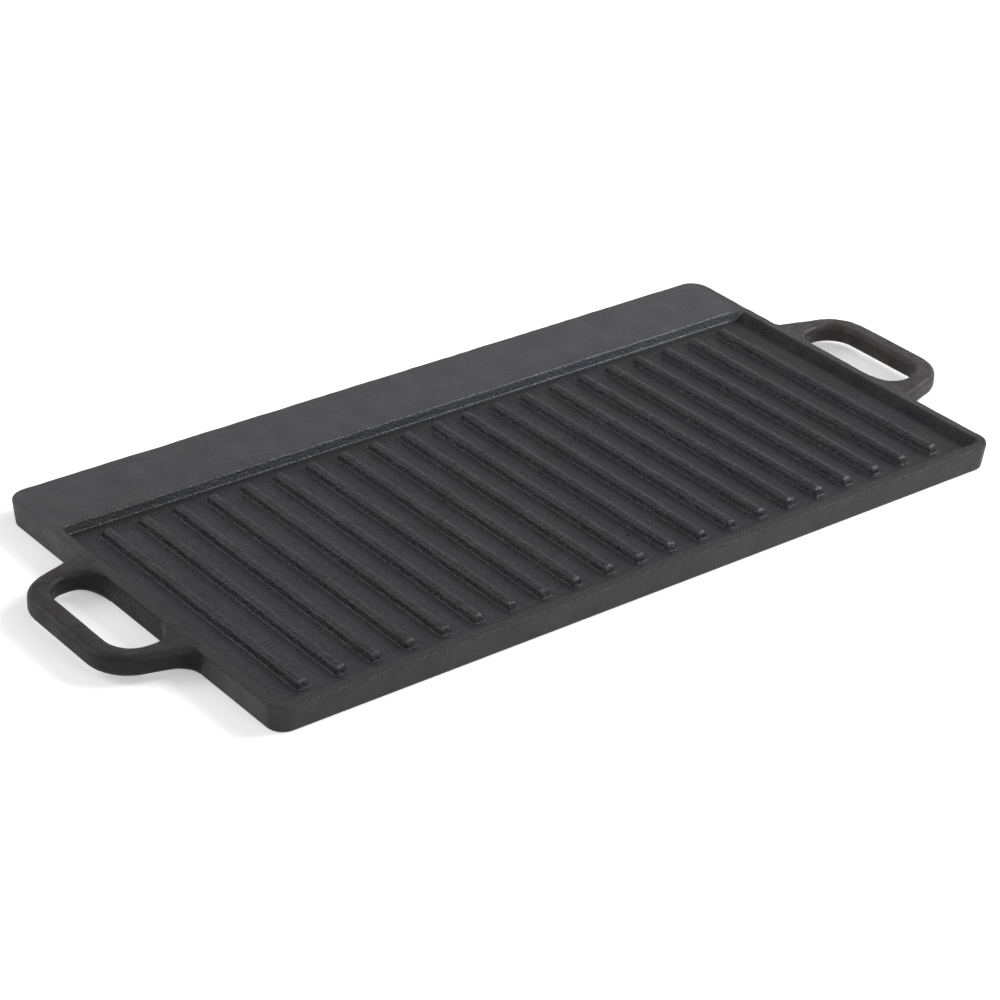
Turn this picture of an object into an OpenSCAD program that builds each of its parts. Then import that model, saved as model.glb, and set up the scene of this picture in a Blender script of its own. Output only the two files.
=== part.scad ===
// Camp griddle plate in cast iron: a ridged floor, a low rim on three sides, a plain ledge along the
// rear with a fat trough under it, and a loop handle at each short side.
// Millimetres, +X along the plate, +Y towards the ledge, +Z up, origin under the middle of the plate.

/* [Plate] */
// Length of the plate without its handles, at the top edge
plate_l = 434; // [400:1:480]
// Depth of the plate from front edge to rear edge, at the top edge
plate_d = 228; // [205:1:260]
// Height of the plate from foot to rim
plate_h = 13.6; // [12.4:0.1:18]
// Radius of the plate's corners in plan, at the top edge
corner_r = 10; // [9:0.5:16]
// How far the side walls lean in from the top edge down to the foot
side_draft = 1.6; // [0.5:0.1:3]

/* [Rim] */
// Width of the flat top of the rim
rim_top_w = 6.2; // [4:0.1:7]
// Run of the rim's sloped inner wall
rim_slope = 2.6; // [0.5:0.1:2.8]
// Width of the foot that the plate stands on
foot_w = 5; // [3:0.1:6.5]
// Depth of the ridged floor below the rim
recess_h = 4.6; // [3:0.1:6]
// Thickness of the iron under the floor and in the ledge
web_t = 6.2; // [4:0.1:7.5]

/* [Ledge] */
// Width of the ledge along the rear edge
ledge_w = 41.6; // [30:0.1:50]
// Run of the sloped step between floor and ledge
step_run = 1.6; // [0.4:0.1:3]
// Thickness of the wall behind the step
step_t = 6; // [4:0.1:9]

/* [Ridges] */
// Number of ridges
ridge_count = 21; // [11:1:25]
// Height of a ridge above the floor
ridge_h = 4.1; // [3:0.1:6]
// Width of a ridge at its foot
ridge_foot_w = 6.8; // [5:0.1:8]
// Width of a ridge at its crest, before the edges are rounded
ridge_crest_w = 4.4; // [3.6:0.1:5]
// Radius of the crest's edges
crest_r = 1.7; // [0.4:0.1:1.7]
// Gap from the left rim to the first ridge
ridge_left_gap = 11.7; // [6:0.1:30]
// Gap from the last ridge to the right rim
ridge_right_gap = 15.9; // [6:0.1:30]
// Extra space between an outermost ridge and its neighbour
end_space = 1.6; // [0:0.1:4]
// Gap from the front rim to the ridges' noses
ridge_front_gap = 6; // [2:0.1:20]
// Gap from the ridges' rear ends to the step
ridge_rear_gap = 8.4; // [4:0.1:30]
// How far a ridge's nose leans back
nose_rake = 1.7; // [0.2:0.1:2.5]
// Radius of the nose's top edge
nose_r = 2.4; // [0.4:0.1:2.6]
// How far a ridge's rear end leans forward
tail_rake = 2.2; // [0.4:0.1:4]
// Radius of the rear end's top edge
tail_r = 2.6; // [0.4:0.1:4]

/* [Handles] */
// Reach of a handle beyond the plate's side
handle_reach = 39; // [34:0.5:50]
// Where the middle of a handle lies along the plate's side, negative towards the front
handle_y = -1.8; // [-10:0.1:10]
// Width of the grip bar in plan
grip_w = 11.2; // [8:0.1:13]
// Height of the grip bar
grip_t = 10.2; // [8:0.1:12]
// Length of the finger hole
hole_l = 69.4; // [60:0.1:90]
// Radius of the finger hole's corners
hole_r = 13.5; // [6:0.5:14]
// Width of a handle's arm beside the finger hole
arm_w = 11.2; // [8:0.1:14]
// Radius of the handle's outer corners
bend_r = 22; // [16:0.5:28]
// Angle at which the arms widen towards the plate
flare = 17; // [5:1:30]
// Radius where an arm runs into the plate
root_r = 3; // [1:0.5:8]
// Distance over which the arm's underside drops to the plate's foot
root_drop = 9; // [4:0.5:16]
// Radius of the handle's long edges
handle_edge_r = 3; // [1:0.1:3.5]

/* [Hidden] */
floor_z = plate_h - recess_h;
web_z = floor_z - web_t;
ledge_z = plate_h - web_t;
rim_w = rim_top_w + rim_slope;
corner_x = plate_l / 2 - corner_r;
corner_y = plate_d / 2 - corner_r;
inner_corner_r = max(0, corner_r - rim_w);
step_y = plate_d / 2 - ledge_w;
step_foot_y = step_y - step_run;
ledge_front_y = step_y + step_t;
floor_x = plate_l / 2 - rim_w;
floor_front_y = rim_w - plate_d / 2;
first_ridge_x = ridge_left_gap + ridge_foot_w / 2 - floor_x;
last_ridge_x = floor_x - ridge_right_gap - ridge_foot_w / 2;
ridge_pitch = (last_ridge_x - first_ridge_x - 2 * end_space) / (ridge_count - 1);
nose_y = floor_front_y + ridge_front_gap;
tail_y = step_foot_y - ridge_rear_gap;
grip_z = plate_h - grip_t;
hole_w = handle_reach - grip_w;
hole_corner_r = min(hole_r, hole_w / 2, hole_l / 2);
flare_n = [sin(flare), cos(flare)];
flare_d = flare_n * [hole_w / 2, hole_l / 2 + arm_w];
bend_x = handle_reach - bend_r;
bend_y = (flare_d - bend_r - flare_n[0] * bend_x) / flare_n[1];
root_y = flare_d / flare_n[1];
root_tangent = root_r / tan((90 + flare) / 2);
micron = 0.001;
eighth = 45;
quarter = 90;
arc_steps = 6;
bend_steps = 8;
sweep_fn = 96;
ridge_names = [for (i = [1 : ridge_count]) str(i < 10 ? "ridge_0" : "ridge_", i)];

floor_tint = "#424244";
rim_tint = "#4b4949";
ledge_tint = "#505052";
ridge_tint = "#464649";
handle_tint = "#474443";

function unit(v) = v / norm(v);
function turned(p, a) = [p[0] * cos(a) - p[1] * sin(a), p[0] * sin(a) + p[1] * cos(a)];
function on_arc(centre, r, a) = centre + r * [cos(a), sin(a)];

// Corner b of an outline of [x, y, radius] points, as the points of its arc
function rounded_corner(a, b, c) =
    b[2] == 0 ? [[b[0], b[1]]] :
    let (
        p = [b[0], b[1]],
        u = unit([a[0], a[1]] - p),
        v = unit([c[0], c[1]] - p),
        half = acos(u * v) / 2,
        centre = p + unit(u + v) * b[2] / sin(half),
        start = p + u * b[2] / tan(half) - centre,
        sweep = -sign(cross(u, v)) * (2 * quarter - 2 * half)
    )
    [for (k = [0 : arc_steps]) centre + turned(start, sweep * k / arc_steps)];

function rounded(points) =
    let (n = len(points))
    [for (i = [0 : n - 1]) each rounded_corner(points[(i + n - 1) % n], points[i], points[(i + 1) % n])];

// Sections of the plate's edge: distance in from the top edge, and height
function lean(z) = round(side_draft * (1 - z / plate_h) / micron) * micron;
rim_section = [[lean(0), 0], [lean(0) + foot_w, 0], [rim_w, web_z], [rim_w, floor_z],
    [rim_top_w, plate_h], [0, plate_h]];
foot_section = [[lean(0), 0], [lean(0) + foot_w, 0], [rim_w, web_z], [rim_w, ledge_z],
    [lean(ledge_z), ledge_z]];

function land_section(depth) = [[lean(ledge_z), ledge_z], [depth, ledge_z], [depth, plate_h], [0, plate_h]];

// A straight stretch of edge along +X, with its top edge on the X axis and the plate on the +Y side
module edge_bar(section, length) {
    rotate([quarter, 0, quarter]) linear_extrude(length) polygon(section);
}

// A turn of the same edge about the centre of one of the plate's corners
module edge_turn(section, side, from, angle) {
    translate([side[0] * corner_x, side[1] * corner_y, 0])
        rotate([0, 0, from])
            rotate_extrude(angle = angle, $fn = sweep_fn)
                polygon([for (p = section) [max(0, corner_r - p[0]), p[1]]]);
}

// A stretch of the left edge between two places on Y
module left_edge(section, from_y, to_y) {
    translate([-plate_l / 2, to_y, 0]) rotate([0, 0, -quarter]) edge_bar(section, to_y - from_y);
}

module sear_floor() {
    color(floor_tint)
        translate([0, 0, web_z])
            linear_extrude(web_t)
                polygon(rounded([[-floor_x, step_foot_y, 0], [-floor_x, floor_front_y, inner_corner_r],
                    [floor_x, floor_front_y, inner_corner_r], [floor_x, step_foot_y, 0]]));
}

module front_rim() {
    color(rim_tint) {
        translate([-corner_x, -plate_d / 2, 0]) edge_bar(rim_section, 2 * corner_x);
        for (side = [0, 1]) mirror([side, 0, 0]) edge_turn(rim_section, [1, -1], -quarter, eighth);
    }
}

module left_rim() {
    color(rim_tint) {
        left_edge(rim_section, -corner_y, ledge_front_y);
        edge_turn(rim_section, [-1, -1], 2 * quarter, eighth);
    }
}

module right_rim() {
    mirror([1, 0, 0]) left_rim();
}

module ledge_step() {
    wall = [[step_foot_y, web_z], [ledge_front_y, web_z], [ledge_front_y, plate_h], [step_y, plate_h],
        [step_foot_y, floor_z]];
    top_x = plate_l / 2 - rim_top_w;
    between_rims = [[-floor_x, web_z], [floor_x, web_z], [floor_x, floor_z], [top_x, plate_h],
        [-top_x, plate_h], [-floor_x, floor_z]];
    color(ledge_tint)
        intersection() {
            translate([-plate_l / 2, 0, 0])
                rotate([quarter, 0, quarter]) linear_extrude(plate_l) polygon(wall);
            translate([0, plate_d / 2, 0])
                rotate([quarter, 0, 0]) linear_extrude(plate_d) polygon(between_rims);
        }
}

module rear_ledge() {
    color(ledge_tint) {
        translate([corner_x, plate_d / 2, 0])
            rotate([0, 0, 2 * quarter]) edge_bar(land_section(plate_d / 2 - ledge_front_y), 2 * corner_x);
        for (side = [0, 1])
            mirror([side, 0, 0]) {
                left_edge(land_section(corner_r), ledge_front_y, corner_y);
                edge_turn(land_section(corner_r), [-1, 1], quarter, quarter);
            }
    }
}

module rear_foot() {
    color(rim_tint) {
        translate([corner_x, plate_d / 2, 0])
            rotate([0, 0, 2 * quarter]) edge_bar(foot_section, 2 * corner_x);
        for (side = [0, 1]) mirror([side, 0, 0]) edge_turn(foot_section, [-1, 1], quarter, eighth);
    }
}

module left_trough_end() {
    color(rim_tint) {
        left_edge(foot_section, ledge_front_y, corner_y);
        mirror([0, 1, 0]) edge_turn(foot_section, [-1, -1], 2 * quarter, eighth);
    }
}

module right_trough_end() {
    mirror([1, 0, 0]) left_trough_end();
}

// Middle of ridge number i, counted from the left; the two outermost ones stand a little further off
function ridge_x(i) = first_ridge_x + (i - 1) * ridge_pitch
    + end_space * ((i > 1 ? 1 : 0) + (i == ridge_count ? 1 : 0));

// Ridge number i: a drafted bar with a round crest, a blunt nose and a soft rear end
module ridge(i) {
    across = rounded([[-ridge_foot_w / 2, 0, 0], [ridge_foot_w / 2, 0, 0],
        [ridge_crest_w / 2, ridge_h, crest_r], [-ridge_crest_w / 2, ridge_h, crest_r]]);
    along = rounded([[nose_y, 0, 0], [tail_y, 0, 0], [tail_y - tail_rake, ridge_h, tail_r],
        [nose_y + nose_rake, ridge_h, nose_r]]);
    color(ridge_tint)
        translate([ridge_x(i), 0, floor_z])
            intersection() {
                translate([0, tail_y, 0])
                    rotate([quarter, 0, 0]) linear_extrude(tail_y - nose_y) polygon(across);
                translate([-ridge_foot_w / 2, 0, 0])
                    rotate([quarter, 0, quarter]) linear_extrude(ridge_foot_w) polygon(along);
            }
}

// Half of the handle's loop, from the middle of the grip to the plate, as [inner, outer] points in plan
// measured out from the plate's side and along it
function hole_half() = let (
    r = hole_corner_r,
    cy = hole_l / 2 - r
) concat(
    [[hole_w, 0]],
    [for (k = [0 : bend_steps]) on_arc([hole_w - r, cy], r, quarter * k / bend_steps)],
    [for (k = [1 : bend_steps]) on_arc([r, cy], r, quarter * (1 + k / bend_steps))]);

function outline_half() = let (
    bend = quarter - flare,
    bend_end = on_arc([bend_x, bend_y], bend_r, bend),
    root_start = [root_tangent * cos(flare), root_y - root_tangent * sin(flare)],
    root_centre = [root_r, root_y + root_tangent]
) concat(
    [[handle_reach, 0]],
    [for (k = [0 : bend_steps]) on_arc([bend_x, bend_y], bend_r, bend * k / bend_steps)],
    [for (k = [1 : bend_steps]) let (u = 2 * k / bend_steps)
        u <= 1 ? bend_end + (root_start - bend_end) * u
            : on_arc(root_centre, root_r, 2 * quarter + bend * (2 - u))]);

function whole_loop(half) = concat(
    [for (i = [len(half) - 1 : -1 : 1]) [half[i][0], -half[i][1]]], half);

// How much of the plate's own edge a place on the arm still follows, 1 at the plate and 0 past the root
function root_share(x) = pow(max(0, 1 - x / root_drop), 2);

// Rounded section of the loop between an inner and an outer point
function loop_section(inner, outer) = let (
    r = handle_edge_r,
    w = norm(outer - inner),
    along = unit(outer - inner)
) [for (q = [0 : 3], k = [0 : arc_steps]) let (
    a = quarter * (2 + q + k / arc_steps),
    s = (q == 0 || q == 3 ? r : w - r) + r * cos(a),
    p = inner + along * s,
    low = grip_z * (1 - root_share(p[0])),
    z = (q < 2 ? low + r : plate_h - r) + r * sin(a)
) [plate_l / 2 + p[0] - lean(z) * root_share(p[0]), handle_y + p[1], z]];

module right_handle() {
    inner = whole_loop(hole_half());
    outer = whole_loop(outline_half());
    rings = len(inner);
    m = 4 * (arc_steps + 1);
    last = (rings - 1) * m;
    color(handle_tint)
        polyhedron(
            points = [for (i = [0 : rings - 1]) each loop_section(inner[i], outer[i])],
            faces = concat(
                [[for (j = [m - 1 : -1 : 0]) j], [for (j = [0 : m - 1]) last + j]],
                [for (i = [0 : rings - 2], j = [0 : m - 1], t = [0, 1]) let (
                    a = i * m + j,
                    b = i * m + (j + 1) % m
                ) t == 0 ? [a, b, b + m] : [a, b + m, a + m]]));
}

module left_handle() {
    mirror([1, 0, 0]) right_handle();
}

sear_floor();
front_rim();
left_rim();
right_rim();
ledge_step();
rear_ledge();
rear_foot();
left_trough_end();
right_trough_end();
left_handle();
right_handle();
for (i = [1 : ridge_count]) ridge(i);
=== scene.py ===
from math import atan2, cos, pi, radians, sin, sqrt, tan

import bmesh
import bpy
from mathutils import Euler, Matrix, Vector, noise


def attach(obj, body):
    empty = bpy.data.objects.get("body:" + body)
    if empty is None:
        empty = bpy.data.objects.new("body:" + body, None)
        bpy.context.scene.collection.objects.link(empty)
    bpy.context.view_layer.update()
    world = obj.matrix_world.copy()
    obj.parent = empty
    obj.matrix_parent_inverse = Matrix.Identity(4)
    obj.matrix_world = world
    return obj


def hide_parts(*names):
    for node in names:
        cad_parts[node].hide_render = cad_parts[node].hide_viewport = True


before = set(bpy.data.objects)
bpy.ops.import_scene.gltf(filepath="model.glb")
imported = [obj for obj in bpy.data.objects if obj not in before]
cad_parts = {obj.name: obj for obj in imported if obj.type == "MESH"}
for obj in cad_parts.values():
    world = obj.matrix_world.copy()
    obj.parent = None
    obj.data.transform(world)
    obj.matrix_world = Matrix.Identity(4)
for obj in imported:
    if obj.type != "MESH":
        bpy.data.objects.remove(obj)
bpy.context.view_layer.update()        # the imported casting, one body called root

mm = 0.001
print("frame loaded:", len(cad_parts), "nodes")


def srgb(hexColour):        # sRGB hex to linear RGBA
    parts = [int(hexColour[i:i + 2], 16) / 255 for i in (1, 3, 5)]
    return [c / 12.92 if c <= 0.04045 else ((c + 0.055) / 1.055) ** 2.4 for c in parts] + [1.0]


def addNode(tree, kind, inputs=None, **settings):        # sockets are linked, other inputs are set
    node = tree.nodes.new(kind)
    for name, value in settings.items():
        setattr(node, name, value)
    for socket, value in (inputs or {}).items():
        if isinstance(value, bpy.types.NodeSocket):
            tree.links.new(value, node.inputs[socket])
        else:
            node.inputs[socket].default_value = value
    return node


def addObject(name, data):
    item = bpy.data.objects.new(name, data)
    bpy.context.scene.collection.objects.link(item)
    return item


# Materials

# Sand-cast grey iron with a thin baked-on oil seasoning: dark, slightly blue grey, a low satin sheen,
# fine sand grain and cloudy patches where the oil ran thicker
seasonedIron = {
    "colour": "#1e1d20", "cloudColour": "#18171a", "tint": "#1a1615", "tintShare": 0.3,
    "rearColour": "#242427",        # smoother and lighter towards the ledge
    "rimColour": "#131315", "rimRoughness": 0.66, "rimBump": 1.2,        # the tops of the rims are rough
    "landBump": 0.3,        # and the rest of the plate is smooth
    "edgeWearAndGlintColour": "#363638",        # specks along the plate's outer top edge: bare iron, and partly a painted highlight where the edge catches the light
    "wearAndHighlightColour": None, "blowholes": [],
    "paintedSideLight": (0.95, 1.25),        # share of the colour at the left and right ends, graded between them as painted light and shade
    "paintedCornerShade": None,        # and in the corner below the step, where it is painted darker as painted shade
    "roughness": (0.44, 0.58), "specular": 0.38,
    "grainMm": 1.5,        # real sand is about 0.3 mm, drawn coarser so that it shows
    "grainHeightMm": 0.5, "hollowShade": 0.2, "lumpMm": 4.5, "lumpHeightMm": 0.10,
    "cloudMm": 16, "tintMm": 60,
    "tintFrom": 0.0, "tintTo": 0.001,        # metres from the middle over which the tint sets in
}
# The sunk cooking area is left as it came from the sand: coarser and duller, with a blowhole, and
# with faint blue patches where it has been heated; it is painted darker towards the right and in the corner
# below the step, as painted shade
searIron = dict(
    seasonedIron, colour="#242427", cloudColour="#1d1d20", tint="#252630", tintShare=0.5, tintMm=45,
    rearColour=None, roughness=(0.5, 0.66), specular=0.31, paintedSideLight=(0.98, 0.5), paintedCornerShade=0.3,
    grainMm=1.15, grainHeightMm=0.55, hollowShade=0.5,
    blowholes=[(0.0092, -0.0759, 0.009, 0.0011)],        # place and radius, in metres
    # the blowhole's hollow is not modelled: its shade is painted as a dark spot
    blowholeShadeColour="#050505")
# The ridges' noses are rubbed smoother by the scraper and their tops are painted lighter as a painted
# highlight; the ridges are painted a little lighter towards the right as painted light
ridgeIron = dict(
    searIron, colour="#1d1d20", cloudColour="#18181b", tint="#1d1e28", blowholes=[],
    paintedSideLight=(0.97, 1.1), paintedCornerShade=None, wearAndHighlightColour="#3c3d40", wearRoughness=0.38, wearBump=0.3,
    roughness=(0.4, 0.54), specular=0.25, grainMm=1.6, grainHeightMm=0.5, hollowShade=0.7,
    lumpMm=2.8, lumpHeightMm=0.22)
# The step's steep face keeps the sand's full roughness, so it glitters a little; it is painted much lighter
# towards the right end as painted light
roughIron = dict(
    searIron, colour="#1f2023", cloudColour="#18191c", tint="#1d1e28", blowholes=[],
    paintedSideLight=(0.5, 3.0), paintedCornerShade=None, roughness=(0.3, 0.44), specular=0.38,
    grainHeightMm=0.42, hollowShade=0.35)
# The rims' inner walls and the plate's side behind the finger holes are painted darker as painted shade,
# and have less sheen
wallShadeIron = dict(
    searIron, colour="#202022", cloudColour="#19191b", tint="#1f2026", blowholes=[],
    paintedSideLight=(0.92, 0.8), paintedCornerShade=None, specular=0.2,
    grainMm=1.6, grainHeightMm=0.5, hollowShade=0.6, lumpMm=2.8, lumpHeightMm=0.3)
# The handles are touched most: a faint brown cast where the seasoning has worn thin
handleIron = dict(
    seasonedIron, colour="#312e2e", cloudColour="#1a1718", cloudMm=9, rearColour=None,
    tint="#3a2f2e", tintShare=0.6, tintMm=11, tintFrom=0.222, tintTo=0.24,
    # the left handle is painted much darker than the right as painted shade
    paintedSideLight=(0.35, 1.15), roughness=(0.4, 0.6), specular=0.24, grainHeightMm=0.36, lumpHeightMm=0.25)

noiseDetail = {        # detail and roughness of each noise
    "grain": (2.0, 0.6), "lump": (2.0, 0.5), "cloud": (5.0, 0.6), "tint": (3.0, 0.5),
}
noiseRanges = {        # from which level of its noise each effect sets in, and where it is full
    "tints": {"From Min": 0.45, "From Max": 0.7},
    "clouds": {"From Min": 0.35, "From Max": 0.7},
    "sheen": {"From Min": 0.3, "From Max": 0.7},
    "edgeWearAndGlint": {"From Min": 0.45, "From Max": 0.7},
    "hollows": {"From Min": 0.3, "From Max": 0.6},
}
places = {        # the same by place on the plate, in metres
    "towardsLedge": {"From Min": 0.0, "From Max": 0.09},
    "aheadOfLedge": {"From Min": 0.075, "From Max": 0.01},
    "offRightRim": {"From Min": 0.213, "From Max": 0.18},
    "frontRim": {"From Min": -0.1, "From Max": -0.106},
    "rimTops": {"From Min": 0.0124, "From Max": 0.0133},
    "outerEdge": {"From Min": 0.0090, "From Max": 0.0096},
    "upperEdge": {"From Min": 0.0124, "From Max": 0.0131},
    "noses": {"From Min": -0.0962, "From Max": -0.0980},
    "noseTops": {"From Min": 0.0112, "From Max": 0.0128},
    "leftToRight": {"From Min": -0.21, "From Max": 0.21},
    "belowStep": {"From Min": 0.056, "From Max": 0.068},
}
edgeCentres = (0.207, 0.104, 0)        # where the plate's rounded corners turn, in metres from the middle
blowholeFade = (1.3, 0.7)        # times the radius


def castIron(name, look):
    material = bpy.data.materials.new(name)
    material.use_nodes = True
    tree = material.node_tree
    tree.nodes.clear()
    place = addNode(tree, "ShaderNodeTexCoord").outputs["Object"]
    axes = addNode(tree, "ShaderNodeSeparateXYZ", {0: place}).outputs
    grain, lumps, clouds, tints = [
        addNode(tree, "ShaderNodeTexNoise", {
            "Vector": place, "Scale": 1 / (look[layer + "Mm"] * mm), "Detail": detail,
            "Roughness": roughness}).outputs["Fac"]
        for layer, (detail, roughness) in noiseDetail.items()]
    outwards = addNode(tree, "ShaderNodeMath", {0: axes["X"]}, operation="ABSOLUTE")
    reach = addNode(tree, "ShaderNodeMapRange", {
        "Value": outwards.outputs[0], "From Min": look["tintFrom"], "From Max": look["tintTo"],
        "To Max": look["tintShare"]})
    patches = addNode(tree, "ShaderNodeMapRange", {
        "Value": tints, **noiseRanges["tints"], "To Max": reach.outputs["Result"]})
    cloudShare = addNode(tree, "ShaderNodeMapRange", {"Value": clouds, **noiseRanges["clouds"]})
    coats = [(cloudShare, look["cloudColour"]), (patches, look["tint"])]        # one over the other
    gloss = addNode(tree, "ShaderNodeMapRange", {
        "Value": clouds, **noiseRanges["sheen"], "To Min": look["roughness"][0],
        "To Max": look["roughness"][1]})
    glosses = []
    lumpBump = addNode(tree, "ShaderNodeBump", {"Height": lumps, "Distance": look["lumpHeightMm"] * mm})
    grainBump = addNode(tree, "ShaderNodeBump", {
        "Height": grain, "Distance": look["grainHeightMm"] * mm, "Normal": lumpBump.outputs["Normal"]})
    if look["rearColour"]:        # the plate's ledge, rims and outer edge
        rear = addNode(tree, "ShaderNodeMapRange", {"Value": axes["Y"], **places["towardsLedge"]})
        ahead = addNode(tree, "ShaderNodeMapRange", {"Value": axes["Y"], **places["aheadOfLedge"]})
        inner = addNode(tree, "ShaderNodeMapRange", {
            "Value": axes["X"], **places["offRightRim"], "To Max": ahead.outputs["Result"]})
        foremost = addNode(tree, "ShaderNodeMapRange", {"Value": axes["Y"], **places["frontRim"]})
        rims = addNode(tree, "ShaderNodeMath", {
            0: inner.outputs["Result"], 1: foremost.outputs["Result"]}, operation="MAXIMUM")
        rough = addNode(tree, "ShaderNodeMapRange", {
            "Value": axes["Z"], **places["rimTops"], "To Max": rims.outputs[0]})
        strength = addNode(tree, "ShaderNodeMapRange", {
            "Value": rough.outputs["Result"], "To Min": look["landBump"], "To Max": look["rimBump"]})
        tree.links.new(strength.outputs["Result"], grainBump.inputs["Strength"])
        past = addNode(tree, "ShaderNodeVectorMath", {0: place}, operation="ABSOLUTE")
        for operation, by in (("SUBTRACT", edgeCentres), ("MAXIMUM", (0, 0, 0)), ("MULTIPLY", (1, 1, 0))):
            past = addNode(tree, "ShaderNodeVectorMath", {0: past.outputs[0], 1: by}, operation=operation)
        outward = addNode(tree, "ShaderNodeVectorMath", {0: past.outputs[0]}, operation="LENGTH")
        edge = addNode(tree, "ShaderNodeMapRange", {
            "Value": outward.outputs["Value"], **places["outerEdge"]})
        upper = addNode(tree, "ShaderNodeMapRange", {
            "Value": axes["Z"], **places["upperEdge"], "To Max": edge.outputs["Result"]})
        # lighter specks on the outer top edge: wear, and partly a painted highlight
        edgeWearAndGlint = addNode(tree, "ShaderNodeMapRange", {
            "Value": grain, **noiseRanges["edgeWearAndGlint"], "To Max": upper.outputs["Result"]})
        coats += [(rear, look["rearColour"]), (rough, look["rimColour"]), (edgeWearAndGlint, look["edgeWearAndGlintColour"])]
        glosses.append((rough, look["rimRoughness"]))
    if look["wearAndHighlightColour"]:        # the ridges' noses: worn smoother, with a painted highlight on their tops
        noses = addNode(tree, "ShaderNodeMapRange", {"Value": axes["Y"], **places["noses"]})
        noseWearAndHighlight = addNode(tree, "ShaderNodeMapRange", {
            "Value": axes["Z"], **places["noseTops"], "To Max": noses.outputs["Result"]})
        calm = addNode(tree, "ShaderNodeMapRange", {
            "Value": noseWearAndHighlight.outputs["Result"], "To Min": 1.0, "To Max": look["wearBump"]})
        for bump in (grainBump, lumpBump):
            tree.links.new(calm.outputs["Result"], bump.inputs["Strength"])
        coats.append((noseWearAndHighlight, look["wearAndHighlightColour"]))
        glosses.append((noseWearAndHighlight, look["wearRoughness"]))
    # a dark spot painted for the shade in each blowhole's hollow
    for x, y, z, radius in look["blowholes"]:
        away = addNode(tree, "ShaderNodeVectorMath", {0: place, 1: (x, y, z)}, operation="DISTANCE")
        dark = addNode(tree, "ShaderNodeMapRange", {
            "Value": away.outputs["Value"], "From Min": radius * blowholeFade[0],
            "From Max": radius * blowholeFade[1]})
        coats.append((dark, look["blowholeShadeColour"]))
        glosses.append((dark, 1.0))
    colour = srgb(look["colour"])
    for share, coat in coats:
        colour = addNode(tree, "ShaderNodeMix", {
            "Factor": share.outputs["Result"], 6: colour, 7: srgb(coat)}, data_type="RGBA").outputs[2]
    for share, roughness in glosses:
        gloss = addNode(tree, "ShaderNodeMapRange", {
            "Value": share.outputs["Result"], "To Min": gloss.outputs["Result"], "To Max": roughness})
    # painted light and shade: the colour is graded from the left end to the right
    paintedLight = addNode(tree, "ShaderNodeMapRange", {
        "Value": axes["X"], **places["leftToRight"], "To Min": look["paintedSideLight"][0],
        "To Max": look["paintedSideLight"][1]})
    if look["paintedCornerShade"]:        # painted shade, darker in the corner below the step
        paintedLight = addNode(tree, "ShaderNodeMapRange", {
            "Value": axes["Y"], **places["belowStep"], "To Min": paintedLight.outputs["Result"],
            "To Max": look["paintedCornerShade"]})
    hollows = addNode(tree, "ShaderNodeMapRange", {        # the hollows between the grains hold less light
        "Value": grain, **noiseRanges["hollows"], "To Min": 1 - look["hollowShade"] * 2,
        "To Max": 1 + look["hollowShade"]})
    for factor in (paintedLight, hollows):
        colour = addNode(tree, "ShaderNodeVectorMath", {
            0: colour, "Scale": factor.outputs["Result"]}, operation="SCALE").outputs[0]
    shader = addNode(tree, "ShaderNodeBsdfPrincipled", {
        "Base Color": colour, "Roughness": gloss.outputs["Result"], "Specular IOR Level": look["specular"],
        "Normal": grainBump.outputs["Normal"]})
    addNode(tree, "ShaderNodeOutputMaterial", {"Surface": shader.outputs["BSDF"]})
    return material


plateFinish = castIron("seasonedSandCastIron", seasonedIron)
searFinish = castIron("coarseSandCastIron", searIron)
ridgeFinish = castIron("coarseSandCastIronOnRidges", ridgeIron)
stepFinish = castIron("roughSandCastIron", roughIron)
wallShadeFinish = castIron("paintedShadeSandCastIron", wallShadeIron)
handleFinish = castIron("wornSeasonedIron", handleIron)
print("materials made")


# Shapes

casting = {        # the casting's own sizes, in millimetres
    "length": 434, "depth": 228, "height": 13.6, "cornerR": 10, "draft": 1.6,
    "rimTop": 6.2, "rimSlope": 2.6, "footWidth": 5, "recess": 4.6, "web": 6.2,
    "ledge": 41.6, "stepRun": 1.6, "stepWall": 6,
    "rimR": 1.0, "rimInnerR": 3.6, "stepInnerR": 1.3, "filletR": 0.9, "footR": 0.8,
    "recessCornerR": 3.8, "recessRearR": 4.6, "leastRecessR": 0.4, "leastSideR": 0.3,
    "strip": 0.7,        # flat margin where two pieces meet, so that the shading runs on
    "filletAngles": range(12, 61, 12), "rimAngles": range(60, -1, -6),        # loops on the wall's curves
    "wallMiddle": 0.75,        # height of the loop between them
    "wallPast": 3,        # loops by which the wall's painted shade stops short of the land
    "stepPast": (9, 4),        # places by which the step's finish runs on into the rear corners
    "rimSteps": 8, "footSteps": 4,
    "landMargin": 0.3, "sideMargin": 0.5,        # loops that keep the rounded edges crisp
    "footChamfer": (0.6, 0.3), "webChamfer": 0.2,
    "waveMm": 0.18, "waveLength": 26,        # a sand mould never leaves an edge dead straight
    "lumpMm": 0.2, "lumpLength": 6, "seed": 5,
    "cutFront": -95, "cutRear": 58,        # where the rims' visual pieces meet, on straight runs
    "holeFront": -36, "holeRear": 32,        # the plate's side shows through the finger holes between these, where it is painted dark as painted shade
    "mergeMm": 0.002, "sharpDegrees": 40,
}
noise.seed_set(casting["seed"])        # the same unevenness on every run
floorZ = casting["height"] - casting["recess"]
webZ = floorZ - casting["web"]
ledgeZ = casting["height"] - casting["web"]
halfX, halfY = casting["length"] / 2, casting["depth"] / 2
stepY = halfY - casting["ledge"]


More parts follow.
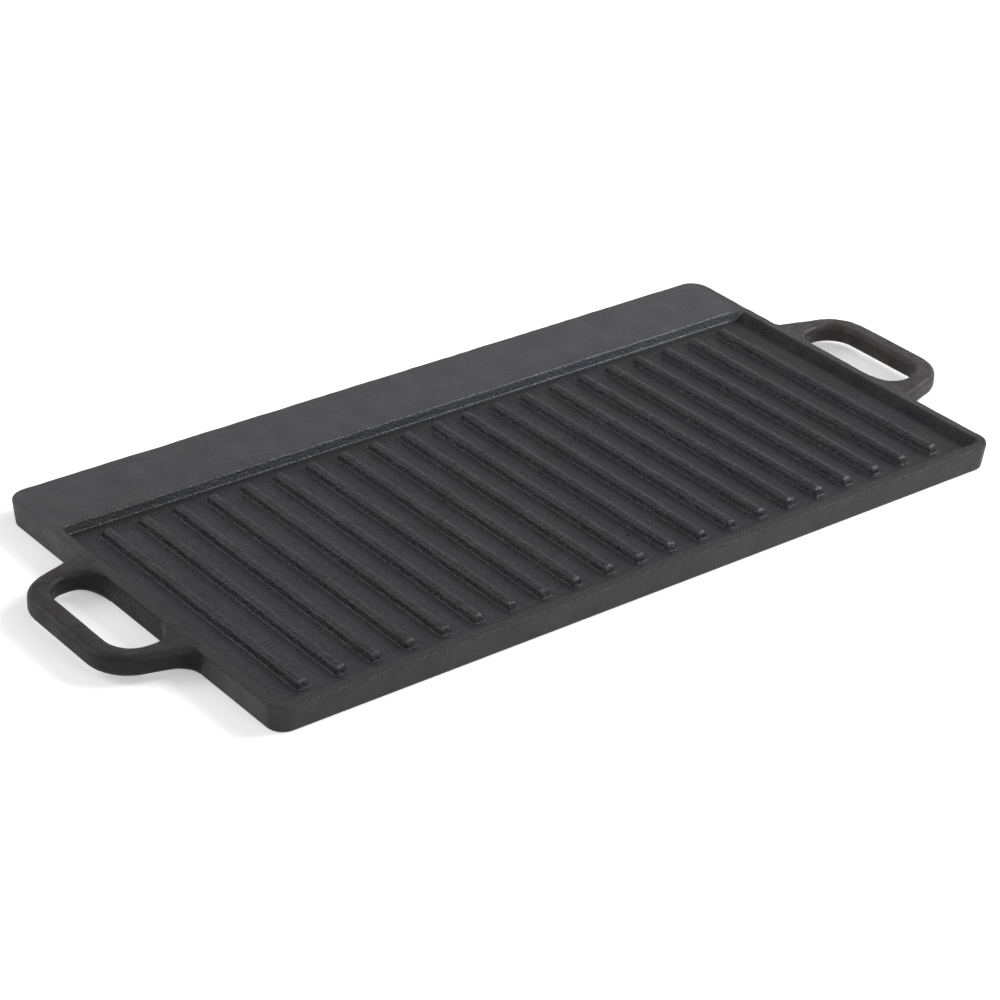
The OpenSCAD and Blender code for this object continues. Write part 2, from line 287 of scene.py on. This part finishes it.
def cast(point, look=casting):        # moves a point the way an uneven mould would, least near the floor
    share = min(1, max(0, (point[2] - floorZ) / casting["recess"]))
    waves = noise.noise_vector(Vector(point) / casting["waveLength"]) * casting["waveMm"]
    lumps = noise.noise_vector(Vector(point) / look["lumpLength"]) * look["lumpMm"]
    return (Vector(point) + (waves + lumps) * share) * mm


def closedMesh(name, corners, faces, finishes=(), faceFinish=()):        # merged, with its faces outwards
    mesh = bpy.data.meshes.new(name)
    mesh.from_pydata(corners, [], faces)
    for finish in finishes:
        mesh.materials.append(finish)
    for polygon, finish in zip(mesh.polygons, faceFinish):
        polygon.material_index = finish
    shape = bmesh.new()
    shape.from_mesh(mesh)
    bmesh.ops.remove_doubles(shape, verts=shape.verts, dist=casting["mergeMm"] * mm)
    bmesh.ops.recalc_face_normals(shape, faces=shape.faces)
    shape.to_mesh(mesh)
    shape.free()
    return mesh


def keepPiece(name, mesh, sharpDegrees, nodes):
    mesh.polygons.foreach_set("use_smooth", [True] * len(mesh.polygons))
    mesh.set_sharp_from_angle(angle=radians(sharpDegrees))
    piece = addObject(name, mesh)
    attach(piece, "root")
    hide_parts(*nodes)


def makePiece(name, points, faces, finishes, nodes, faceFinish=()):
    mesh = closedMesh(name, [cast(p) for p in points], faces, finishes, faceFinish)
    keepPiece(name, mesh, casting["sharpDegrees"], nodes)


loopSteps = {        # places on each run of a loop round the plate
    "corner": 10, "frontCut": 4, "rearCut": 16, "side": 60, "long": 160,
}


def stretch(start, end, steps):        # points along a straight run, without its end
    return [(start[0] + (end[0] - start[0]) * k / steps, start[1] + (end[1] - start[1]) * k / steps)
            for k in range(steps)]


def outline(x, front, rear, frontR, rearR):        # counterclockwise loop from the left front cut
    arcs = ((frontR - x, front + frontR, frontR, 180), (x - frontR, front + frontR, frontR, 270),
            (x - rearR, rear - rearR, rearR, 0), (rearR - x, rear - rearR, rearR, 90))
    corners = []
    for cx, cy, r, turn in arcs:
        angles = [radians(turn + 90 * k / loopSteps["corner"]) for k in range(loopSteps["corner"] + 1)]
        corners.append([(cx + r * cos(a), cy + r * sin(a)) for a in angles])
    frontLeft, frontRight, rearRight, rearLeft = corners
    cutFront, cutRear = casting["cutFront"], casting["cutRear"]
    runs = [((-x, cutFront), frontLeft[0], loopSteps["frontCut"]), frontLeft,
            (frontLeft[-1], frontRight[0], loopSteps["long"]), frontRight,
            (frontRight[-1], (x, cutFront), loopSteps["frontCut"]),
            ((x, cutFront), (x, cutRear), loopSteps["side"]),
            ((x, cutRear), rearRight[0], loopSteps["rearCut"]), rearRight,
            (rearRight[-1], rearLeft[0], loopSteps["long"]), rearLeft,
            (rearLeft[-1], (-x, cutRear), loopSteps["rearCut"]),
            ((-x, cutRear), (-x, cutFront), loopSteps["side"])]
    return [p for run in runs for p in (stretch(*run) if isinstance(run, tuple) else run[:-1])]


# Where each stretch of edge starts on the loop
frontStart = 0
rightStart = 2 * (loopSteps["frontCut"] + loopSteps["corner"]) + loopSteps["long"]
rearStart = rightStart + loopSteps["side"]
troughStart = rearStart + loopSteps["rearCut"] + loopSteps["corner"]
troughEnd = troughStart + loopSteps["long"]
leftStart = troughEnd + loopSteps["corner"] + loopSteps["rearCut"]
stepStart, stepEnd = troughStart - casting["stepPast"][0], troughEnd + casting["stepPast"][1]


def innerRun(run, edge, z):        # how far in the wall between floor and land stands at height z
    slope = atan2(casting["recess"], run)
    fillet = casting["filletR"]
    if z < floorZ + fillet * (1 - cos(slope)):
        return run + fillet * tan(slope / 2) - sqrt(max(0, fillet ** 2 - (fillet - z + floorZ) ** 2))
    if z > casting["height"] - edge * (1 - cos(slope)):
        return sqrt(max(0, edge ** 2 - (z - casting["height"] + edge) ** 2)) - edge * tan(slope / 2)
    return run * (casting["height"] - z) / casting["recess"]


def recessRing(z, flat=0):        # loop on the sunk floor's wall; flat moves it in, or out when negative
    rim = innerRun(casting["rimSlope"], casting["rimInnerR"], z) + flat
    step = innerRun(casting["stepRun"], casting["stepInnerR"], z) + flat
    frontR = max(casting["leastRecessR"], casting["recessCornerR"] - rim)
    rearR = max(casting["leastRecessR"], casting["recessRearR"] - rim)
    loop = outline(halfX - casting["rimTop"] - rim, casting["rimTop"] - halfY + rim, stepY - step,
                   frontR, rearR)
    return [(x, y, z) for x, y in loop]


def sideRing(inset, z):        # loop on the outside of the plate or under its foot
    r = max(casting["leastSideR"], casting["cornerR"] - inset)
    return [(x, y, z) for x, y in outline(halfX - inset, inset - halfY, halfY - inset, r, r)]


def edgeArc(cx, cz, r, start, end, steps):        # inset and height on an arc, angles from straight up
    angles = [radians(start + (end - start) * k / steps) for k in range(steps + 1)]
    return [(cx - r * sin(a), cz + r * cos(a)) for a in angles]


lean = casting["draft"] / casting["height"]
leanAngle = atan2(casting["draft"], casting["height"]) * 180 / pi
top, rimR, footR = casting["height"], casting["rimR"], casting["footR"]
outerTop = edgeArc(rimR * (1 / cos(radians(leanAngle)) + lean), top - rimR, rimR,
                   0, 90 + leanAngle, casting["rimSteps"])
outerFoot = edgeArc(casting["draft"] - lean * footR + footR / cos(radians(leanAngle)), footR, footR,
                    90 + leanAngle, 180, casting["footSteps"])
footEnd = casting["draft"] + casting["footWidth"]
footIn = casting["rimTop"] + casting["rimSlope"]

wallHeights = [floorZ + casting["filletR"] * (1 - cos(radians(a))) for a in casting["filletAngles"]]
wallHeights.append(floorZ + casting["wallMiddle"])
wallHeights += [top - casting["rimInnerR"] * (1 - cos(radians(a))) for a in casting["rimAngles"]]
rings = [recessRing(floorZ, casting["strip"]), recessRing(floorZ)]
wallStart = len(rings)
rings += [recessRing(z) for z in sorted(wallHeights)]
wallEnd = len(rings) - casting["wallPast"]
rings += [recessRing(top, -casting["landMargin"]), sideRing(outerTop[0][0] + casting["landMargin"], top)]
sideStart = len(rings) + len(outerTop) // 2        # the outside starts in the middle of its rounded edge
rings += [sideRing(*p) for p in outerTop]
rings += [sideRing(outerTop[-1][0] + lean * casting["sideMargin"], outerTop[-1][1] - casting["sideMargin"]),
          sideRing(outerFoot[0][0] - lean * casting["sideMargin"], outerFoot[0][1] + casting["sideMargin"])]
rings += [sideRing(*p) for p in outerFoot]
sideEnd = len(rings)
rings += [sideRing(footEnd - casting["footChamfer"][0], 0), sideRing(footEnd, casting["footChamfer"][1]),
          sideRing(footIn - casting["webChamfer"], webZ - casting["webChamfer"]), sideRing(footIn, webZ)]
rings += [[(x, y, webZ) for x, y, z in rings[0]]]
perRing = len(rings[0])

plateFinishes = [plateFinish, searFinish, stepFinish, wallShadeFinish]
plateIndex, searIndex, stepIndex, wallShadeIndex = range(len(plateFinishes))


def edgeFinish(k, place):        # the finish of the face after loop k and a place on it
    # the rims' inner walls and the side behind the finger holes take the finish with painted shade
    if k < wallEnd:
        if stepStart <= place < stepEnd:
            return stepIndex
        return searIndex if k < wallStart else wallShadeIndex
    if sideStart <= k < sideEnd and casting["holeFront"] < rings[k][place][1] < casting["holeRear"]:
        return wallShadeIndex
    return plateIndex


def edgeStretch(start, stop):        # closed stretch of the plate's edge between two places on the loop
    width = stop - start + 1
    points = [ring[i % perRing] for ring in rings for i in range(start, stop + 1)]
    faces, finish = [], []
    for k in range(len(rings)):
        a, b = k * width, (k + 1) % len(rings) * width
        for i in range(width - 1):
            faces.append((a + i, a + i + 1, b + i + 1, b + i))
            finish.append(edgeFinish(k, start + i))
    for end in (0, width - 1):
        faces.append(tuple(k * width + end for k in range(len(rings))))
        finish.append(plateIndex)
    return points, faces, finish


def openTrough(points, faces, finish):        # sinks the fat trough into the underside of the ledge
    width = leftStart - rearStart + 1
    under, inner = (len(rings) - 2) * width, (len(rings) - 1) * width
    first, last = troughStart - rearStart, troughEnd - rearStart
    covered = {(under + i, under + i + 1, inner + i + 1, inner + i) for i in range(first - 1, last + 1)}
    kept = [(face, index) for face, index in zip(faces, finish) if face not in covered]
    faces, finish = [list(column) for column in zip(*kept)]
    troughFront = stepY + casting["stepWall"]
    rows = {}
    for row, (y, z) in enumerate(((None, ledgeZ), (troughFront, ledgeZ), (troughFront, webZ))):
        for i in range(first, last + 1):
            x, rearY, _ = points[under + i]
            rows[row, i] = len(points)
            points.append((x, rearY if y is None else y, z))
    for i in range(first, last):
        levels = [[under + j, rows[0, j], rows[1, j], rows[2, j], inner + j] for j in (i, i + 1)]
        faces += [(levels[0][k], levels[1][k], levels[1][k + 1], levels[0][k + 1]) for k in range(4)]
    for i, side in ((first, -1), (last, 1)):
        faces.append((under + i, rows[0, i], rows[1, i], rows[2, i]))
        faces.append((under + i, rows[2, i], inner + i, inner + i + side, under + i + side))
    return points, faces, finish


rimStretches = [("frontRim", frontStart, rightStart, ["front_rim"]),
                ("rightRim", rightStart, rearStart, ["right_rim"]),
                ("leftRim", leftStart, perRing, ["left_rim"])]
for name, start, stop, nodes in rimStretches:
    points, faces, finish = edgeStretch(start, stop)
    makePiece(name, points, faces, plateFinishes, nodes, finish)
points, faces, finish = openTrough(*edgeStretch(rearStart, leftStart))
ledgeNodes = ["ledge_step", "rear_ledge", "rear_foot", "left_trough_end", "right_trough_end"]
makePiece("rearLedge", points, faces, plateFinishes, ledgeNodes, finish)
print("rims and ledge made:", perRing, "places on each loop,", len(rings), "loops")

floorPoints = rings[0] + rings[-1]
floorFaces = [tuple(range(perRing)), tuple(range(perRing, 2 * perRing))]
floorFaces += [(i, (i + 1) % perRing, perRing + (i + 1) % perRing, perRing + i) for i in range(perRing)]
makePiece("searFloor", floorPoints, floorFaces, [searFinish], ["sear_floor"])
print("floor made")


ridge = {        # one cooking ridge on its low base, and how the ridges are spaced
    "height": 4.1, "footWidth": 6.8, "crestWidth": 4.4, "crestR": 2.2, "filletR": 1.3,
    "baseWidth": 1.05, "baseHeight": 0.12, "baseRise": 0.02,
    "baseEdge": ((0, 0.12), (0.04, 0.04), (0.1, 0)),        # how far in and down, up the base's edge
    "rootDepth": 0.6,        # how far the ridge reaches into the floor
    "footAngles": (0, 14, 28, 42, 56, 68), "crestAngles": (62, 50, 40, 30, 22, 15, 9, 4, 0),
    "noseY": -99.2, "noseRake": 1.7, "noseR": 2.4, "tailY": 62.4, "tailRake": 2.2, "tailR": 2.6,
    "noseCornerR": 1.7, "tailCornerR": 2.4, "leastCornerR": 0.3, "leastFlat": 0.05,
    "steps": 90, "cornerSteps": 6, "lumpMm": 0.34, "lumpLength": 4.5, "sharpDegrees": 60,
    "count": 21, "first": -193.1, "pitch": 18.94, "endSpace": 1.6, "jitter": 0.1, "turn": 0.05, "seed": 7,
}
baseZ = ridge["baseHeight"] + ridge["baseRise"]        # where the flanks start, above the floor
rise = ridge["height"] - baseZ


def flankRun(rake, edgeR, z):        # how far in a ridge's side stands at height z above its base
    fillet = ridge["filletR"]
    slope = atan2(rise, rake)
    if z < fillet * (1 - cos(slope)):
        return sqrt(max(0, fillet ** 2 - (fillet - z) ** 2)) - fillet * tan(slope / 2)
    if z > rise - edgeR * (1 - cos(slope)):
        return rake + edgeR * tan(slope / 2) - sqrt(max(0, edgeR ** 2 - (z - rise + edgeR) ** 2))
    return rake * z / rise


def ridgeRing(z, out=0, level=None):        # half loop from the nose round the left flank to the tail
    side = flankRun((ridge["footWidth"] - ridge["crestWidth"]) / 2, ridge["crestR"], z) - out
    nose = ridge["noseY"] + flankRun(ridge["noseRake"], ridge["noseR"], z) - out
    tail = ridge["tailY"] - flankRun(ridge["tailRake"], ridge["tailR"], z) + out
    half = ridge["footWidth"] / 2 - side
    noseR, tailR = [min(half - ridge["leastFlat"], max(ridge["leastCornerR"], r - side))
                    for r in (ridge["noseCornerR"], ridge["tailCornerR"])]
    turns = [radians(90 / ridge["cornerSteps"] * k) for k in range(ridge["cornerSteps"] + 1)]
    loop = [(0, nose)] + [(noseR - half - noseR * sin(a), nose + noseR - noseR * cos(a)) for a in turns]
    loop += stretch((-half, nose + noseR), (-half, tail - tailR), ridge["steps"])[1:]
    loop += [(tailR - half - tailR * cos(a), tail - tailR + tailR * sin(a)) for a in turns] + [(0, tail)]
    return [(x, y, floorZ + (baseZ + z if level is None else level)) for x, y in loop]


footHeights = [ridge["filletR"] * (1 - cos(radians(a))) for a in ridge["footAngles"]]
crestHeights = [rise - ridge["tailR"] * (1 - cos(radians(a))) for a in ridge["crestAngles"]]
halfRings = [ridgeRing(0, ridge["baseWidth"], -ridge["rootDepth"])]
halfRings += [ridgeRing(0, ridge["baseWidth"] - inwards, ridge["baseHeight"] - down)
              for inwards, down in ridge["baseEdge"]]
halfRings += [ridgeRing(z) for z in sorted(footHeights + crestHeights)]
ridgePoints, rows = [], []
for halfRing in halfRings:
    left = list(range(len(ridgePoints), len(ridgePoints) + len(halfRing)))
    ridgePoints += halfRing
    right = list(range(len(ridgePoints), len(ridgePoints) + len(halfRing) - 2))
    ridgePoints += [(-x, y, z) for x, y, z in halfRing[1:-1]]
    rows.append(left + right[::-1])
ridgeFaces = [(a[i], a[(i + 1) % len(a)], b[(i + 1) % len(a)], b[i])
              for a, b in zip(rows, rows[1:]) for i in range(len(rows[0]))]
for row in (rows[0], rows[-1]):        # the underside and the crest, in strips across
    count = len(row)
    for i in range(count // 2):
        across = (row[i], row[i + 1], row[count - i - 1], row[(count - i) % count])
        ridgeFaces.append(tuple(dict.fromkeys(across)))


def ridgeTree():        # repeats the object's own mesh along a row of points
    tree = bpy.data.node_groups.new("ridgeRow", "GeometryNodeTree")
    sockets = {}
    for name, kind in (("Geometry", "Geometry"), ("Count", "Int"), ("First", "Float"), ("Pitch", "Float"),
                       ("End Space", "Float"), ("Jitter", "Float"), ("Turn", "Float"), ("Seed", "Int"),
                       ("Finish", "Material")):
        sockets[name] = tree.interface.new_socket(name, in_out="INPUT", socket_type="NodeSocket" + kind)
    tree.interface.new_socket("Geometry", in_out="OUTPUT", socket_type="NodeSocketGeometry")
    given = addNode(tree, "NodeGroupInput").outputs
    start = addNode(tree, "ShaderNodeCombineXYZ", {"X": given["First"]})
    along = addNode(tree, "ShaderNodeCombineXYZ", {"X": given["Pitch"]})
    row = addNode(tree, "GeometryNodeMeshLine", {
        "Count": given["Count"], "Start Location": start.outputs[0], "Offset": along.outputs[0]})
    index = addNode(tree, "GeometryNodeInputIndex").outputs[0]
    final = addNode(tree, "ShaderNodeMath", {0: given["Count"], 1: 1.0}, operation="SUBTRACT")
    past = addNode(tree, "ShaderNodeMath", {        # 0 for the first ridge, 1 past it
        0: index, 1: 0.5}, operation="GREATER_THAN")
    atEnd = addNode(tree, "ShaderNodeMath", {0: index, 1: final.outputs[0], 2: 0.1}, operation="COMPARE")
    spaces = addNode(tree, "ShaderNodeMath", {0: past.outputs[0], 1: atEnd.outputs[0]}, operation="ADD")
    spread = addNode(tree, "ShaderNodeMath", {
        0: spaces.outputs[0], 1: given["End Space"]}, operation="MULTIPLY")
    lowest = addNode(tree, "ShaderNodeMath", {0: given["Jitter"], 1: -1.0}, operation="MULTIPLY")
    jitter = addNode(tree, "FunctionNodeRandomValue", {"Seed": given["Seed"]}, data_type="FLOAT")
    limits = {s.name: s for s in jitter.inputs if s.type == "VALUE" and s.name in ("Min", "Max")}
    tree.links.new(lowest.outputs[0], limits["Min"])
    tree.links.new(given["Jitter"], limits["Max"])
    jitterValue = [s for s in jitter.outputs if s.type == "VALUE"][0]
    shift = addNode(tree, "ShaderNodeMath", {0: spread.outputs[0], 1: jitterValue}, operation="ADD")
    offset = addNode(tree, "ShaderNodeCombineXYZ", {"X": shift.outputs[0]})
    placed = addNode(tree, "GeometryNodeSetPosition", {
        "Geometry": row.outputs[0], "Offset": offset.outputs[0]})
    share = addNode(tree, "ShaderNodeMath", {0: jitterValue, 1: given["Turn"]}, operation="MULTIPLY")
    turn = addNode(tree, "ShaderNodeCombineXYZ", {"Z": share.outputs[0]})
    copies = addNode(tree, "GeometryNodeInstanceOnPoints", {
        "Points": placed.outputs[0], "Instance": given["Geometry"], "Rotation": turn.outputs[0]})
    real = addNode(tree, "GeometryNodeRealizeInstances", {"Geometry": copies.outputs[0]})
    finished = addNode(tree, "GeometryNodeSetMaterial", {
        "Geometry": real.outputs[0], "Material": given["Finish"]})
    addNode(tree, "NodeGroupOutput", {"Geometry": finished.outputs[0]})
    return tree, {name: socket.identifier for name, socket in sockets.items()}


oneRidge = addObject("oneRidge", closedMesh("oneRidge", [Vector(p) * mm for p in ridgePoints], ridgeFaces))
tree, names = ridgeTree()
modifier = oneRidge.modifiers.new("ridgeRow", "NODES")
modifier.node_group = tree
for name, value in (("Count", ridge["count"]), ("First", ridge["first"] * mm),
                    ("Pitch", ridge["pitch"] * mm), ("End Space", ridge["endSpace"] * mm),
                    ("Jitter", ridge["jitter"] * mm),
                    ("Turn", ridge["turn"] / (ridge["jitter"] * mm) * pi / 180), ("Seed", ridge["seed"]),
                    ("Finish", ridgeFinish)):
    modifier[names[name]] = value
bpy.context.view_layer.update()
ridgeMesh = bpy.data.meshes.new_from_object(oneRidge.evaluated_get(bpy.context.evaluated_depsgraph_get()))
bpy.data.objects.remove(oneRidge)
for vertex in ridgeMesh.vertices:
    vertex.co = cast(vertex.co / mm, ridge)
ridgeNodes = ["ridge_%02d" % (i + 1) for i in range(ridge["count"])]
keepPiece("cookingRidges", ridgeMesh, ridge["sharpDegrees"], ridgeNodes)
print("ridges made:", len(ridgeMesh.polygons), "faces")


handle = {        # a loop handle, measured out from the plate's side
    "reach": 39, "middleY": -1.8, "gripWidth": 11.2, "gripHeight": 10.2, "holeLength": 69.4, "holeR": 13.5,
    "armWidth": 11.2, "bendR": 22, "flare": 17, "rootR": 3, "rootDrop": 9, "edgeR": 3.2,
    "gripSteps": 4, "bendSteps": 18, "edgeSteps": 7,
    "rootDip": 0.06, "dipReach": 1.2,        # shallow line where the arm leaves the rim
    "sink": 3.4,        # how far the arms run on into the plate
}


def onArc(cx, cy, r, degrees):
    return Vector((cx + r * cos(radians(degrees)), cy + r * sin(radians(degrees))))


def handleHalf():        # pairs of inner and outer points, from the middle of the grip to the plate
    straight, n = handle["gripSteps"], handle["bendSteps"]
    flare, reach, r = radians(handle["flare"]), handle["reach"], handle["holeR"]
    holeW, holeY = reach - handle["gripWidth"], handle["holeLength"] / 2 - r
    inner = [Vector((holeW, holeY * k / straight)) for k in range(straight)]
    inner += [onArc(holeW - r, holeY, r, 90 * k / n) for k in range(n + 1)]
    inner += [onArc(r, holeY, r, 90 + 90 * k / n) for k in range(1, n + 1)]
    across = sin(flare) * holeW / 2 + cos(flare) * (handle["holeLength"] / 2 + handle["armWidth"])
    bendX = reach - handle["bendR"]
    bendY = (across - handle["bendR"] - sin(flare) * bendX) / cos(flare)
    bend = 90 - handle["flare"]
    rootY = across / cos(flare)
    tangent = handle["rootR"] / tan(radians(90 + handle["flare"]) / 2)
    bendEnd = onArc(bendX, bendY, handle["bendR"], bend)
    rootStart = Vector((tangent * cos(flare), rootY - tangent * sin(flare)))
    outer = [Vector((reach, bendY * k / straight)) for k in range(straight)]
    outer += [onArc(bendX, bendY, handle["bendR"], bend * k / n) for k in range(n + 1)]
    for k in range(1, n + 1):        # half the steps on the arm, half on the root's curve
        u = 2 * k / n
        outer.append(bendEnd.lerp(rootStart, u) if u <= 1 else
                     onArc(handle["rootR"], rootY + tangent, handle["rootR"], 180 + bend * (2 - u)))
    return list(zip(inner, outer))


def handleSection(inner, outer, sink=0):        # rounded section between an inner and an outer point
    r, width = handle["edgeR"], (outer - inner).length
    along, points = (outer - inner).normalized(), []
    for corner in range(4):        # lower inner, lower outer, upper outer, upper inner
        for k in range(handle["edgeSteps"] + 1):
            a = radians(180 + 90 * corner + 90 * k / handle["edgeSteps"])
            p = inner + along * ((r if corner in (0, 3) else width - r) + r * cos(a))
            share = max(0, 1 - p.x / handle["rootDrop"]) ** 2
            low = (top - handle["gripHeight"]) * (1 - share)
            z = (low + r if corner < 2 else top - r) + r * sin(a)
            if corner > 1:
                z -= handle["rootDip"] * max(0, 1 - abs(p.x - sink) / handle["dipReach"])
            points.append((halfX + p.x - sink - lean * (top - z) * share, handle["middleY"] + p.y, z))
    return points


half = handleHalf()
whole = [(Vector((i.x, -i.y)), Vector((o.x, -o.y))) for i, o in half[:0:-1]] + half
sections = [handleSection(*whole[0], handle["sink"])]
sections += [handleSection(*pair) for pair in whole]
sections += [handleSection(*whole[-1], handle["sink"])]
perSection = len(sections[0])
handlePoints = [p for section in sections for p in section]
handleFaces = [tuple(range(perSection)), tuple(range(len(handlePoints) - perSection, len(handlePoints)))]
for s in range(len(sections) - 1):
    a, b = s * perSection, (s + 1) * perSection
    for j in range(perSection):
        k = (j + 1) % perSection
        handleFaces.append((a + j, a + k, b + k, b + j))
leftPoints = [(-x, y, z) for x, y, z in handlePoints]
makePiece("rightHandle", handlePoints, handleFaces, [handleFinish], ["right_handle"])
makePiece("leftHandle", leftPoints, handleFaces, [handleFinish], ["left_handle"])
print("handles made")


# Studio

studio = {
    "cameraPlace": (-0.8292, -1.0051, 0.7237), "heading": -39.26, "pitch": 29.21, "roll": 2.60,
    "lens": 109.91, "sensor": 36,
    "ambient": 0.25,        # the world's light on the object; the background itself is white
    "paperColour": "#fafafa", "paperRoughness": 0.9, "paperSpecular": 0.1, "paperLift": 0.4,
    "paperReach": 1.7, "paperSides": 96, "paperZ": -0.0001,        # a disc, lit white to its edge
    "lamps": [        # name, place, size in metres, watts
        ("frontSoftbox", (0.0, -2.36, 1.1), 1.6, 13),
        ("leftSoftbox", (-1.55, 1.45, 1.35), 1.4, 20),
        ("rightSoftbox", (1.80, -0.75, 1.45), 1.3, 50),
    ],
}
camera = addObject("camera", bpy.data.cameras.new("camera"))
camera.data.lens = studio["lens"]
camera.data.sensor_width = studio["sensor"]
camera.location = studio["cameraPlace"]
turned = Euler((radians(90 - studio["pitch"]), 0, radians(studio["heading"]))).to_matrix()
camera.rotation_euler = (turned @ Matrix.Rotation(radians(studio["roll"]), 3, "Z")).to_euler()
bpy.context.scene.camera = camera

for name, place, size, watts in studio["lamps"]:
    lamp = addObject(name, bpy.data.lights.new(name, "AREA"))
    lamp.data.shape = "DISK"
    lamp.data.size = size
    lamp.data.energy = watts
    lamp.location = place
    lamp.rotation_euler = (-Vector(place)).to_track_quat("-Z", "Y").to_euler()


def seenBy(tree):        # 1 for the camera, and for rays that show the white background in the metal
    path = addNode(tree, "ShaderNodeLightPath").outputs
    seen = path["Is Camera Ray"]
    for ray in ("Is Glossy Ray", "Is Transmission Ray"):
        seen = addNode(tree, "ShaderNodeMath", {0: seen, 1: path[ray]}, operation="MAXIMUM").outputs[0]
    return seen


world = bpy.data.worlds.new("studio")
bpy.context.scene.world = world
world.use_nodes = True
worldTree = world.node_tree
worldTree.nodes.clear()
level = addNode(worldTree, "ShaderNodeMapRange", {"Value": seenBy(worldTree), "To Min": studio["ambient"]})
sky = addNode(worldTree, "ShaderNodeBackground", {"Color": (1, 1, 1, 1), "Strength": level.outputs[0]})
addNode(worldTree, "ShaderNodeOutputWorld", {"Surface": sky.outputs[0]})

paper = bpy.data.materials.new("whitePaper")        # matt white studio paper
paper.use_nodes = True
paperTree = paper.node_tree
paperShader = paperTree.nodes["Principled BSDF"].inputs
paperShader["Base Color"].default_value = srgb(studio["paperColour"])
paperShader["Roughness"].default_value = studio["paperRoughness"]
paperShader["Specular IOR Level"].default_value = studio["paperSpecular"]
paperShader["Emission Color"].default_value = (1, 1, 1, 1)
glow = addNode(paperTree, "ShaderNodeMapRange", {"Value": seenBy(paperTree), "To Max": studio["paperLift"]})
paperTree.links.new(glow.outputs["Result"], paperShader["Emission Strength"])
paperTurns = [2 * pi * k / studio["paperSides"] for k in range(studio["paperSides"])]
paperRim = [(studio["paperReach"] * cos(a), studio["paperReach"] * sin(a), studio["paperZ"])
            for a in paperTurns]
floorMesh = bpy.data.meshes.new("studioFloor")
floorMesh.from_pydata(paperRim, [], [tuple(range(studio["paperSides"]))])
floorMesh.materials.append(paper)
studioFloor = addObject("studioFloor", floorMesh)
bpy.context.scene.view_settings.view_transform = "Standard"
print("studio made")
